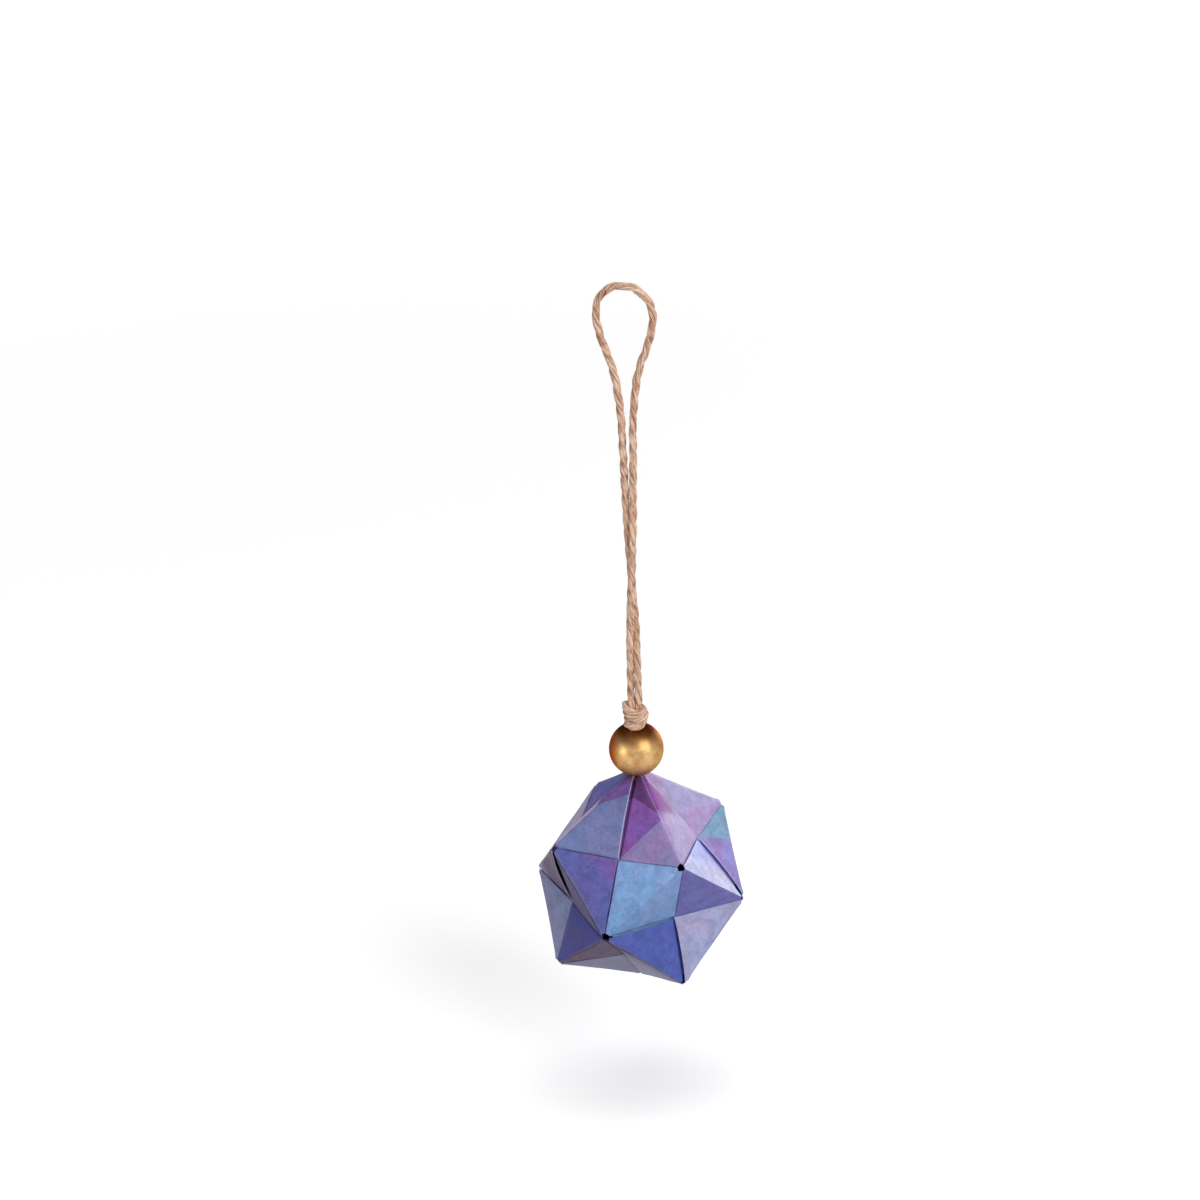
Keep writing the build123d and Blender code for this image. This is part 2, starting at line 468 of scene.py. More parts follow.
def bead_profile():
    """The bead's round side, its rounded lips and its bore, as one closed outline."""
    mouth_radius = bore_radius + bore_lip
    mouth_angle = acos(mouth_radius / bead_radius)
    outline = []
    for step in range(bead_steps + 1):
        angle = -mouth_angle + 2 * mouth_angle * step / bead_steps
        outline.append((bead_radius * cos(angle), bead_centre.z + bead_radius * sin(angle)))
    mouth_height = bead_radius * sin(mouth_angle)
    for sign in (1, -1):
        lip = []
        for step in range(1, lip_steps + 1):
            angle = pi / 2 * step / lip_steps
            lip.append((
                mouth_radius - bore_lip * sin(angle),
                bead_centre.z + sign * (mouth_height - bore_lip * (1 - cos(angle))),
            ))
        outline += lip if sign > 0 else lip[::-1]
    return outline


bead_mesh = lathe_mesh("gold_bead", bead_profile(), bead_sides)
bead = new_piece("gold_bead", bead_mesh, "gold_paint", "bead")


# -------- paper units

UP, DOWN = as_way(0, 0, 1), as_way(0, 0, -1)
LEFT, RIGHT = as_way(-1, 0, 0), as_way(1, 0, 0)
FRONT = as_way(0, -1, 0)

colours = {
    "plum": (98, 62, 118),
    "purple": (134, 90, 170),
    "magenta": (144, 78, 160),
    "mauve": (118, 84, 152),
    "mauve_grey": (148, 134, 186),
    "slate": (115, 126, 174),
    "sky": (133, 169, 220),
    "steel": (122, 154, 204),
    "ice": (136, 170, 204),
    "periwinkle": (97, 100, 167),
    "indigo": (72, 72, 152),
    # the paper's indigo, deepened with painted shade
    "deep_indigo": (64, 58, 176),
    "royal": (82, 97, 174),
    "cornflower": (168, 180, 246),
    # painted shade, for a facet that faces down
    "slate_dark": (96, 94, 128),
    "violet": (106, 105, 170),
    "lilac": (158, 144, 212),
    "orchid": (116, 92, 162),
    "lavender": (182, 168, 214),
    # a pale lavender, whitened as a painted highlight of glare
    "pale": (206, 212, 250),
    "pink": (180, 158, 208),
    "blush": (206, 180, 206),
    "rose": (94, 76, 116),
    "dusk": (148, 132, 164),
    # painted warm shade, for facets that face down
    "brown": (74, 44, 88),
    # painted shade, for a sliver that faces down
    "umber": (84, 74, 120),
    "grey": (140, 146, 190),
    "ash": (132, 132, 164),
    "mist": (166, 166, 204),
}

# What each facet shows: its colour, then bands laid over it. A band is a colour, two points
# on the facet's edges (from one end to another, as a share) and the end it reaches to.
# The ends are t, the tip, c, the corner, and v, the valley. A last word makes its edge soft.
soft_edge = 16
CROWN_LINE = ("tv", 0.33), ("tc", 0.48)
SHOULDER_LINE = ("tc", 0.46), ("tv", 0.66)
facets = {
    "crown_unit_1": (("blush", ("mauve", *CROWN_LINE, "t")), ("slate", ("mauve", *CROWN_LINE, "t"))),
    "crown_unit_2": (
        ("pink", ("magenta", *SHOULDER_LINE, "t", "soft")),
        ("mauve_grey", ("purple", ("vt", 0.0), ("tc", 0.54), "t"), ("plum", *CROWN_LINE, "t")),
    ),
    "crown_unit_3": (("pink", ("lavender", ("tv", 0.67), ("tc", 1.0), "t")), ("lavender",)),
    # the first facet's indigo is deepened with painted shade
    "crown_unit_4": (("deep_indigo",), ("indigo", ("violet", *SHOULDER_LINE, "c"))),
    "upper_unit_1": (("rose", ("dusk", ("tc", 0.25), ("tv", 0.4), "t", "soft")), ("blush",)),
    # the first facet, a sliver that faces down, has painted shade in its colour
    "upper_unit_2": (("umber",), ("periwinkle", ("orchid", ("vt", 0.3), ("vc", 0.5), "v", "soft"))),
    # the second facet's pale, bluer towards the valley, is a painted highlight of glare
    "upper_unit_3": (("violet",), ("pale", ("cornflower", ("vt", 0.5), ("vc", 0.6), "v", "soft"))),
    "upper_unit_4": (("steel",), ("sky", ("steel", ("tc", 0.62), ("tv", 0.12), "t", "soft"))),
    "upper_unit_5": (("violet",), ("lilac", ("ice", ("ct", 0.4), ("cv", 1.0), "c"))),
    "upper_unit_6": (("sky",), ("magenta", ("lavender", *SHOULDER_LINE, "c"))),
    "upper_unit_7": (("periwinkle", ("purple", *CROWN_LINE, "t")), ("lavender",)),
    "upper_unit_8": (("lavender",), ("royal",)),
    "lower_unit_1": (("grey",), ("violet",)),
    # the second facet faces down: its colour is painted warm shade
    "lower_unit_2": (("indigo",), ("brown",)),
    "lower_unit_3": (("mist",), ("orchid",)),
    # the second facet faces down: painted warm shade in its colours
    "lower_unit_4": (("royal",), ("slate_dark", ("brown", ("tc", 0.35), ("tv", 0.6), "t", "soft"))),
    "lower_unit_5": (("purple",), ("mist",)),
    "lower_unit_6": (("sky", ("steel", *CROWN_LINE, "t")), ("periwinkle",)),
    "lower_unit_7": (("lavender",), ("indigo",)),
    "lower_unit_8": (("mauve_grey", ("magenta", *CROWN_LINE, "t")), ("slate",)),
    "base_unit_1": (("slate",), ("ash",)),
    "base_unit_2": (("periwinkle",), ("ash",)),
    "base_unit_3": (("mist",), ("purple",)),
    "base_unit_4": (("violet",), ("pink",)),
}

# How far each seam stands open, from a valley to a tip or corner: 0 is shut, 1 is wide open
open_seams = [
    (FRONT + UP, UP, 0.85),
    (FRONT + UP, FRONT, 0.5),
    (RIGHT + UP, UP, 0.6),
    (RIGHT + UP, RIGHT, 0.9),
    (FRONT + RIGHT, FRONT, 0.6),
    (FRONT + RIGHT, FRONT + RIGHT + DOWN, 0.66),
    (FRONT + LEFT, FRONT, 0.7),
    (FRONT + LEFT, FRONT + LEFT + UP, 1.0),
    (FRONT + LEFT, LEFT, 0.2),
    (FRONT + LEFT, FRONT + LEFT + DOWN, 0.1),
    (FRONT + DOWN, FRONT, 0.05),
    (FRONT + DOWN, DOWN, 0.1),
    (FRONT + DOWN, FRONT + LEFT + DOWN, 0.05),
    (FRONT + DOWN, FRONT + RIGHT + DOWN, 0.1),
]


def seam_opening(valley_way, end_way):
    """A listed seam's opening, or a small one of its own for a seam that isn't listed."""
    for valley, end, opening in open_seams:
        if valley == valley_way and end == end_way:
            return opening
    seed = valley_way * 3.7 + end_way * 1.9
    return 0.06 + 0.5 * abs(noise.noise(seed))


def linear(colour):
    """A colour's linear values from its everyday ones."""
    return tuple((value / 255) ** 2.2 for value in colour)


# How a facet leaves its plane, in millimetres
mouth_lift, mouth_lift_open = 0.12, 0.6  # at a shut seam, and what a wide open one adds
mouth_lift_reach = 3.2
mouth_back, mouth_back_open = 0.02, 0.36  # how far the mouth's edge draws back
mouth_back_reach = 0.9
shut_seam = 0.12  # the tab's edge goes no deeper up to this opening
tab_drop = 0.85
tab_slope, tab_slope_open = 0.34, 0.45
mean_bulge, bulge_spread, bulge_share = 0.34, 0.4, 0.021
wave_height, wave_length = 0.1, 7
flat_near_ridge = 1.2

no_band = -50.0  # the band mark of a facet that has no such band
pale_lip_from = 0.55  # a seam open less than this shows no pale lip
pale_lip_shift = 3


class Facet:
    """One flat side of a unit, with its mouth edge, its tab edge and its colours."""

    def __init__(self, tip_way, side, other, paint):
        corner_way = tip_way + side + other
        self.valley_way = tip_way + side
        self.tip, self.corner = place(tip_way), place(corner_way)
        self.valley = place(self.valley_way)
        turn = (self.tip - self.valley).cross(self.corner - self.valley).dot(self.valley)
        self.mouth_at_tip = turn > 0
        ends = (tip_way, corner_way) if self.mouth_at_tip else (corner_way, tip_way)
        self.mouth_way, self.tab_way = ends
        next_way = side if self.mouth_at_tip else tip_way + side - other
        self.mouth, self.tab, self.next = (place(way) for way in (*ends, next_way))
        self.normal = outward(self.valley, self.tip, self.corner)
        self.depth = self.valley.dot(self.normal)
        self.mouth_in = self.inward(self.valley, self.mouth, self.tab)
        self.tab_in = self.inward(self.valley, self.tab, self.mouth)
        self.ridge_in = self.inward(self.tip, self.corner, self.valley)
        self.ridge_height = (self.valley - self.tip).dot(self.ridge_in)
        self.opening = seam_opening(self.valley_way, self.mouth_way)
        self.tab_opening = max(0.0, seam_opening(self.valley_way, self.tab_way) - shut_seam)
        self.tuck = seam_step + tab_drop * self.tab_opening
        self.main, *self.bands = paint
        self.seed = self.valley_way * 2.3 + corner_way * 4.1 + tip_way * 1.7
        self.bulge = mean_bulge + bulge_spread * noise.noise(self.seed)

    def inward(self, start, end, inside):
        """The direction in the facet's plane from an edge to the point opposite."""
        along = (end - start).normalized()
        reach = inside - start
        return (reach - along * reach.dot(along)).normalized()

    def end(self, letter):
        return {"t": self.tip, "c": self.corner, "v": self.valley}[letter]

    def band_line(self, band):
        """A point on a band's edge and the direction in the facet to its coloured side."""
        start, finish, reached = band[1:4]
        first, second = (
            self.end(ends[0]).lerp(self.end(ends[1]), share) for ends, share in (start, finish)
        )
        inside = self.inward(first, second, self.end(reached))
        return first, inside

    def marks(self, point):
        """Millimetres from the two bands' edges and from the mouth, at a point of the plane."""
        values = [no_band, no_band]
        for number, band in enumerate(self.bands):
            first, inside = self.band_line(band)
            values[number] = (point - first).dot(inside) / (soft_edge if len(band) > 4 else 1)
        mouth = (point - self.valley).dot(self.mouth_in)
        hidden_lip = 1 - smooth((self.opening - pale_lip_from) * 4)
        return (*values, mouth + pale_lip_shift * hidden_lip)

    def cut_share(self, ridge_point, end, cut):
        """Where a line from the ridge to the valley leaves a cut corner, as a share."""
        other = self.corner if end == self.tip else self.tip
        edge_a, edge_b = (other - end).normalized(), (self.valley - end).normalized()
        bisector = (edge_a + edge_b).normalized()
        wanted = cut * bisector.dot(edge_a)
        start = (ridge_point - end).dot(bisector)
        finish = (self.valley - end).dot(bisector)
        return max(0.0, (wanted - start) / (finish - start))

    def shaped(self, point):
        """A point of the plane, lifted at the mouth, tucked at the tab and slightly full."""
        mouth_gap = (point - self.valley).dot(self.mouth_in)
        tab_gap = (point - self.valley).dot(self.tab_in)
        ridge_gap = (point - self.tip).dot(self.ridge_in)
        mouth_edge = self.mouth - self.valley
        share = (point - self.valley).dot(mouth_edge) / mouth_edge.length_squared
        bow = sin(pi * min(max(share, 0.0), 1.0)) ** 0.8
        near_mouth = exp(-((mouth_gap / mouth_lift_reach) ** 2))
        lift = (mouth_lift + mouth_lift_open * self.opening * bow) * near_mouth
        slope = tab_slope + tab_slope_open * self.tab_opening
        dive = self.tuck * max(0.0, 1 - tab_gap / slope) ** 1.4
        inner = max(mouth_gap * tab_gap * ridge_gap, 0) ** (2 / 3)
        full = self.bulge * bulge_share * inner
        wave = wave_height * noise.noise(point / wave_length + self.seed)
        settled = smooth(ridge_gap / flat_near_ridge)
        total = (lift - dive + full + wave) * settled
        drawn = mouth_back + mouth_back_open * self.opening * bow
        back_off = drawn * exp(-mouth_gap / mouth_back_reach)
        moved = point + self.mouth_in * back_off
        return moved * (1 + total / self.depth)


def outward(a, b, c):
    """The normal of a plane through three points, away from the ball's centre."""
    normal = (b - a).cross(c - a).normalized()
    return normal if normal.dot(a) > 0 else -normal


end_steps = 4
ridge_steps = 34
valley_rows = 24
fold_rows = 4
fold_radius = 0.4
tab_spreads = (0.03, 0.1, 0.3, 0.6, 0.85)  # shares of the way under the next facet
tab_settled = 0.3  # the share at which a tab has its full depth and taper
tab_taper = 0.16
lining_rows, lining_columns = 8, 6
lining_span = 0.84
sharp_angle = radians(50)
weld_distance = 2e-6  # in metres


class UnitMesh:
    """Collects a unit's vertices and faces, with the facet that each face belongs to."""

    def __init__(self):
        self.verts, self.flat, self.faces, self.owner = [], [], [], []

    def add(self, point, flat):
        self.verts.append(point)
        self.flat.append(flat)
        return len(self.verts) - 1

    def face(self, corners, facet):
        points = [self.verts[index] for index in corners]
        normal = (points[2] - points[0]).cross(points[3] - points[1])
        middle = sum(points, Vector()) / 4
        self.faces.append(corners if normal.dot(middle) > 0 else corners[::-1])
        self.owner.append(facet)

    def grid(self, rows, facet):
        for lower, upper in zip(rows, rows[1:]):
            for index in range(len(lower) - 1):
                self.face((lower[index], lower[index + 1], upper[index + 1], upper[index]), facet)


def stations(length, tip_cut, corner_cut):
    """Shares along the ridge, close together at both ends, and the range that isn't cut."""
    start, finish = tip_cut / length, 1 - corner_cut / length
    steps = [start * step / end_steps for step in range(end_steps)]
    for step in range(ridge_steps + 1):
        steps.append(start + (finish - start) * (1 - cos(pi * step / ridge_steps)) / 2)
    steps += [1 - (1 - finish) * step / end_steps for step in range(end_steps - 1, -1, -1)]
    return steps, end_steps, end_steps + ridge_steps


def skin(mesh, sides, tip_cut, corner_cut, softness):
    """Both facets of a unit and the rounded fold of the ridge between them."""
    tip, corner = sides[0].tip, sides[0].corner
    ridge = corner - tip
    shares, first, last = stations(ridge.length, tip_cut, corner_cut)
    bisector = (sides[0].normal + sides[1].normal).normalized()
    half = acos(min(1.0, sides[0].normal.dot(bisector)))
    rows = {side: [] for side in sides}
    folds = []
    for number, share in enumerate(shares):
        on_ridge = tip.lerp(corner, share)
        whole = first <= number <= last
        inside = min(share * ridge.length - tip_cut, (1 - share) * ridge.length - corner_cut)
        radius = (fold_radius + softness * sin(pi * share) ** 2) * smooth(inside / 1.5)
        for side in sides:
            if whole:
                start = radius * tan(half) / side.ridge_height
            else:
                end, cut = (tip, tip_cut) if number < first else (corner, corner_cut)
                start = side.cut_share(on_ridge, end, cut)
            column = []
            for row in range(valley_rows + 1):
                flat = on_ridge.lerp(side.valley, start + (1 - start) * row / valley_rows)
                column.append(mesh.add(side.shaped(flat), flat))
            rows[side].append(column)
        if whole:
            axis = on_ridge - bisector * (radius / cos(half))
            arc = {side: [] for side in sides}
            crest = mesh.add(axis + bisector * radius, on_ridge)
            for side in sides:
                sideways = (side.normal - bisector * side.normal.dot(bisector)).normalized()
                arc[side].append(rows[side][-1][0])
                for step in range(fold_rows - 1, 0, -1):
                    angle = half * step / fold_rows
                    point = axis + (bisector * cos(angle) + sideways * sin(angle)) * radius
                    arc[side].append(mesh.add(point, point))
                arc[side].append(crest)
            folds.append(arc)
    for side in sides:
        mesh.grid(rows[side], side)
        mesh.grid([arc[side] for arc in folds], side)
    return rows


def tab_and_lining(mesh, facet, seam):
    """The tab that goes on under the next facet, and the layer behind this one."""
    pocket_normal = outward(facet.valley, facet.tab, facet.next)
    pocket_depth = facet.valley.dot(pocket_normal)
    edge_length = (facet.tab - facet.valley).length
    columns = [seam]
    for spread in tab_spreads:
        settled = smooth(spread / tab_settled)
        column = []
        for index in seam:
            along = (mesh.flat[index] - facet.valley).length / edge_length
            along *= 1 - tab_taper * settled
            way = facet.tab.lerp(facet.next, spread) - facet.valley
            flat = facet.valley + way * along
            depth = facet.tuck + (tab_depth - facet.tuck) * settled
            column.append(mesh.add(flat * (1 - depth / pocket_depth), flat))
        columns.append(column)
    mesh.grid(columns, facet)
    rows = []
    for row in range(lining_rows + 1):
        along = 0.02 + lining_span * row / lining_rows
        strip = []
        for column in range(lining_columns + 1):
            spread = 0.06 + lining_span * column / lining_columns
            way = facet.tab.lerp(facet.mouth, spread) - facet.valley
            flat = facet.valley + way * along
            strip.append(mesh.add(flat * (1 - lining_depth / facet.depth), flat))
        rows.append(strip)
    mesh.grid(rows, facet)


def unit_piece(name, tip_way, first_way, second_way):
    """A folded unit: two facets, their tabs and their linings, as one sheet with its thickness."""
    ways = ((first_way, second_way), (second_way, first_way))
    pairs = zip(ways, facets[name])
    sides = [Facet(tip_way, side, other, paint) for (side, other), paint in pairs]
    corner_way = tip_way + first_way + second_way
    unit = UnitMesh()
    softness = 0.25 + 0.9 * abs(noise.noise(corner_way * 1.3 + tip_way * 2.9))
    rows = skin(unit, sides, hole_at(tip_way), hole_at(corner_way), softness)
    for side in sides:
        seam = rows[side][-1 if side.mouth_at_tip else 0]
        tab_and_lining(unit, side, seam)
    mesh = bpy.data.meshes.new(name)
    mesh.from_pydata([(ball_centre + vert) * MM for vert in unit.verts], [], unit.faces)
    paints = [[], [], []]
    marks, ridge = [], []
    for corners, facet in zip(unit.faces, unit.owner):
        names = [facet.main, *(band[0] for band in facet.bands)]
        names += [facet.main] * (3 - len(names))
        for index in corners:
            flat = unit.flat[index]
            marks += facet.marks(flat)
            ridge.append((flat - facet.tip).dot(facet.ridge_in))
            for values, colour in zip(paints, names):
                values += (*linear(colours[colour]), 1.0)
    for key, values in zip(("paint_main", "paint_second", "paint_third"), paints):
        mesh.attributes.new(key, "FLOAT_COLOR", "CORNER").data.foreach_set("color", values)
    mesh.attributes.new("band_edges", "FLOAT_VECTOR", "CORNER").data.foreach_set("vector", marks)
    mesh.attributes.new("ridge_gap", "FLOAT", "CORNER").data.foreach_set("value", ridge)
    merged = bmesh.new()
    merged.from_mesh(mesh)
    bmesh.ops.remove_doubles(merged, verts=merged.verts, dist=weld_distance)
    merged.to_mesh(mesh)
    merged.free()
    slot = name.split("_")[0] + "_paper"
    piece = new_piece("paper_" + name, mesh, slot, name)
    thickness = piece.modifiers.new("thickness", "SOLIDIFY")
    thickness.thickness = paper * MM
    thickness.offset = -1
    settle(piece)
    return piece


quarters = [(-1, -1), (1, -1), (1, 1), (-1, 1)]
units = {}
poles = ((UP, "crown_unit", "upper_unit"), (DOWN, "base_unit", "lower_unit"))
for pole, tip_name, belt_name in poles:
    for number, (x, y) in enumerate(quarters):
        side_x, side_y = as_way(x, 0, 0), as_way(0, y, 0)
        units[f"{tip_name}_{number + 1}"] = (pole, side_x, side_y)
        units[f"{belt_name}_{2 * number + 1}"] = (side_x, side_y, pole)
        units[f"{belt_name}_{2 * number + 2}"] = (side_y, side_x, pole)
paper_pieces = {name: unit_piece(name, *ways) for name, ways in units.items()}


# -------- materials


class Nodes:
    """Adds nodes to a tree, with inputs given as values or as other nodes' outputs."""

    def __init__(self, tree):
        self.tree = tree

    def add(self, kind, inputs=None, **settings):
        node = self.tree.nodes.new("ShaderNode" + kind)
        for key, value in settings.items():
            setattr(node, key, value)
        for key, value in (inputs or {}).items():
            socket = node.inputs[key]
            if isinstance(value, bpy.types.NodeSocket):
                self.tree.links.new(value, socket)
            else:
                socket.default_value = value
        return node

    def math(self, operation, a, b=0.0, clamp=False):
        return self.add("Math", {0: a, 1: b}, operation=operation, use_clamp=clamp).outputs[0]

    def step(self, value, low, high, to_low=0.0, to_high=1.0):
        """A soft step of a value from one range to another."""
        inputs = {0: value, 1: low, 2: high, 3: to_low, 4: to_high}
        return self.add("MapRange", inputs, interpolation_type="SMOOTHSTEP").outputs[0]

    def feed(self, node, **values):
        """Links values to a node's inputs by their labels."""
        for label, value in values.items():
            self.tree.links.new(value, node.inputs[label.replace("_", " ").title()])

    def times(self, value, factor):
        return self.math("MULTIPLY", value, factor)

    def plus(self, a, b, clamp=False):
        return self.math("ADD", a, b, clamp)

    def mix(self, factor, a, b, blend="MIX"):
        inputs = {0: factor, 6: a, 7: b}
        return self.add("Mix", inputs, data_type="RGBA", blend_type=blend).outputs[2]

    def noise(self, place_at, scale, detail=2.0, rough=0.5, distortion=0.0):
        inputs = {
            "Vector": place_at, "Scale": scale, "Detail": detail,
            "Roughness": rough, "Distortion": distortion,
        }
        return self.add("TexNoise", inputs).outputs["Fac"]

    def vector(self, operation, a, b=(0.0, 0.0, 0.0), output="Vector"):
        return self.add("VectorMath", {0: a, 1: b}, operation=operation).outputs[output]

    def stretched(self, place_at, scale):
        return self.vector("MULTIPLY", place_at, scale)


def shader_group(name, inputs, outputs):
    """An empty node group with named sockets, and its own Nodes."""
    tree = bpy.data.node_groups.new(name, "ShaderNodeTree")
    for label, kind, value in inputs:
        socket = tree.interface.new_socket(label, in_out="INPUT", socket_type="NodeSocket" + kind)
        socket.default_value = value
    for label, kind in outputs:
        tree.interface.new_socket(label, in_out="OUTPUT", socket_type="NodeSocket" + kind)
    given = tree.nodes.new("NodeGroupInput").outputs
    put = tree.nodes.new("NodeGroupOutput").inputs
    return tree, Nodes(tree), given, put


def finish_group(tree, sockets, **values):
    for label, value in values.items():
        tree.links.new(value, sockets[label.replace("_", " ").capitalize()])


def millimetres(nodes):
    """Object coordinates in millimetres."""
    object_place = nodes.add("TexCoord").outputs["Object"]
    return nodes.stretched(object_place, (1 / MM, 1 / MM, 1 / MM))


def washi_group():
    """Dyed mulberry paper: soft clouds of dye, a fine crackle and long fibres."""
    tree, nodes, given, put = shader_group(
        "washi paper",
        [("Colour", "Color", (0.5, 0.5, 0.5, 1)), ("Mottling", "Float", 1.0),
         ("Seed", "Float", 0.0)],
        [("Colour", "Color"), ("Height", "Float"), ("Gloss", "Float")],
    )
    spot = millimetres(nodes)
    shifted = nodes.vector("ADD", spot, given["Seed"])
    clouds = nodes.noise(shifted, 0.3, 4.0, 0.6, 0.6)
    tint = nodes.noise(shifted, 0.13, 2.0, 0.5, 0.3)
    speckle = nodes.noise(shifted, 1.7, 3.0, 0.6)
    warp = nodes.add("TexNoise", {"Vector": shifted, "Scale": 0.8, "Detail": 2.0}).outputs["Color"]
    bent = nodes.vector("ADD", shifted, nodes.stretched(warp, (1.6, 1.6, 1.6)))
    cells = nodes.add(
        "TexVoronoi", {"Vector": bent, "Scale": 0.62}, feature="DISTANCE_TO_EDGE"
    ).outputs["Distance"]
    crackle = nodes.step(cells, 0.0, 0.2, 1.0, 0.0)
    fibres = nodes.noise(nodes.stretched(shifted, (1.0, 3.4, 1.6)), 1.1, 3.0, 0.65, 1.2)
    shade = nodes.step(clouds, 0.3, 0.7, 0.86, 1.12)
    shade = nodes.plus(shade, nodes.step(speckle, 0.3, 0.7, -0.05, 0.05))
    shade = nodes.plus(shade, nodes.times(crackle, -0.07))
    shade = nodes.plus(shade, nodes.step(fibres, 0.35, 0.7, -0.04, 0.05))
    shade = nodes.times(nodes.math("SUBTRACT", shade, 1.0), given["Mottling"])
    shade = nodes.plus(shade, 1.0)
    grey = nodes.add("CombineColor", {0: shade, 1: shade, 2: shade}).outputs[0]
    dyed = nodes.mix(1.0, given["Colour"], grey, "MULTIPLY")
    warm = nodes.mix(1.0, dyed, (1.09, 0.98, 1.0, 1), "MULTIPLY")
    cool = nodes.mix(1.0, dyed, (0.93, 1.02, 1.03, 1), "MULTIPLY")
    tinted = nodes.mix(nodes.step(tint, 0.35, 0.65), warm, cool)
    relief = nodes.plus(speckle, nodes.times(clouds, 1.6))
    height = nodes.plus(nodes.times(crackle, -0.5), relief)
    gloss = nodes.step(clouds, 0.3, 0.7, 0.3, 0.42)
    finish_group(tree, put, colour=tinted, height=height, gloss=gloss)
    return tree


def folded_group():
    """The bands of colour of a facet, its pale cut edge and its worn fold."""
    tree, nodes, given, put = shader_group(
        "folded facet",
        [("Edge tone", "Color", (0.8, 0.8, 0.9, 1)), ("Wear", "Float", 0.5)],
        [("Colour", "Color"), ("Step", "Float")],
    )
    main, second, third = (
        nodes.add("Attribute", attribute_name=key).outputs["Color"]
        for key in ("paint_main", "paint_second", "paint_third")
    )
    edges = nodes.add("Attribute", attribute_name="band_edges").outputs["Vector"]
    parts = nodes.add("SeparateXYZ", {0: edges}).outputs
    wander = nodes.noise(millimetres(nodes), 0.5, 2.0)
    wander = nodes.step(wander, 0.2, 0.8, -0.05, 0.05)
    masks = [nodes.step(nodes.plus(parts[k], wander), -0.12, 0.12) for k in (0, 1)]
    colour = nodes.mix(masks[1], nodes.mix(masks[0], main, second), third)
    ridge = nodes.add("Attribute", attribute_name="ridge_gap").outputs["Fac"]
    worn = nodes.step(ridge, 0.05, 0.45, 1.0, 0.0)
    rubbed = nodes.step(nodes.noise(millimetres(nodes), 0.9, 2.0), 0.35, 0.65, 0.3, 1.0)
    worn = nodes.times(nodes.times(worn, rubbed), given["Wear"])
    colour = nodes.mix(worn, colour, given["Edge tone"])
    lip = nodes.step(parts[2], 0.1, 0.32, 0.8, 0.0)
    colour = nodes.mix(lip, colour, given["Edge tone"])
    finish_group(tree, put, colour=colour, step=nodes.plus(masks[0], masks[1]))
    return tree


def fibre_group():
    """Jute: fibres that run along each ply, darker between them."""
    tree, nodes, given, put = shader_group(
        "jute fibres",
        [("Dark", "Color", (0.2, 0.1, 0.05, 1)), ("Light", "Color", (0.7, 0.5, 0.4, 1))],
        [("Colour", "Color"), ("Height", "Float")],
    )
    space = nodes.add("Attribute", attribute_name="ply_space").outputs["Vector"]
    fine = nodes.noise(nodes.stretched(space, (7.0, 7.0, 0.5)), 1.0, 3.0, 0.6, 0.4)
    coarse = nodes.noise(nodes.stretched(space, (2.4, 2.4, 0.22)), 1.0, 2.0, 0.5)
    lumps = nodes.noise(millimetres(nodes), 0.35, 2.0)
    both = nodes.plus(nodes.times(fine, 0.6), nodes.times(coarse, 0.4))
    patches = nodes.step(lumps, 0.3, 0.7, -0.15, 0.15)
    tone = nodes.plus(nodes.step(both, 0.36, 0.6), patches, clamp=True)
    colour = nodes.mix(tone, given["Dark"], given["Light"])
    finish_group(tree, put, colour=colour, height=both)
    return tree


def solid(colour):
    """A colour of everyday values, for a shader's socket."""
    return (*linear(colour), 1)


def new_material(name, settings):
    """A material with a Principled shader that has those values on its own sockets."""
    material = bpy.data.materials.new(name)
    material.use_nodes = True
    nodes = Nodes(material.node_tree)
    shader = material.node_tree.nodes["Principled BSDF"]
    for key, value in settings.items():
        shader.inputs[key].default_value = value
    return material, nodes, shader


def use_bump(nodes, shader, height, strength, distance):
    bump = nodes.add("Bump", {"Height": height, "Strength": strength, "Distance": distance * MM})
    nodes.feed(shader, normal=bump.outputs[0])


def paper_material(name, seed, mottling, wear):
    material, nodes, shader = new_material(name, {"Specular IOR Level": 0.3, "IOR": 1.46})
    folded = nodes.add("Group", node_tree=FOLDED)
    folded.inputs["Edge tone"].default_value = (0.62, 0.6, 0.78, 1)
    folded.inputs["Wear"].default_value = wear
    washi = nodes.add("Group", node_tree=WASHI)
    washi.inputs["Mottling"].default_value = mottling
    washi.inputs["Seed"].default_value = seed
    nodes.feed(washi, colour=folded.outputs["Colour"])
    nodes.feed(shader, base_color=washi.outputs["Colour"], roughness=washi.outputs["Gloss"])
    stepped = nodes.times(folded.outputs["Step"], 1.2)
    height = nodes.plus(washi.outputs["Height"], stepped)
    use_bump(nodes, shader, height, 0.5, 0.06)
    return material


def twine_material(name, dark, light):
    material, nodes, shader = new_material(name, {"Roughness": 0.82, "Specular IOR Level": 0.25})
    jute = nodes.add("Group", node_tree=FIBRES)
    jute.inputs["Dark"].default_value = solid(dark)
    jute.inputs["Light"].default_value = solid(light)
    nodes.feed(shader, base_color=jute.outputs["Colour"])
    use_bump(nodes, shader, jute.outputs["Height"], 0.8, 0.12)
    return material


gold_deep, gold_bright = (232, 172, 108), (255, 212, 148)
bead_shade_brown = (100, 56, 26)  # painted shade, near the bead's two holes at its top and bottom
# a painted orange reflection on one side of the bead
orange_reflection_colour = (198, 84, 22)
streak_brown = (150, 92, 44)
pit_brown = (96, 58, 28)
orange_reflection_side = (-0.94, -0.34, 0.0)  # the side that shows a painted orange reflection
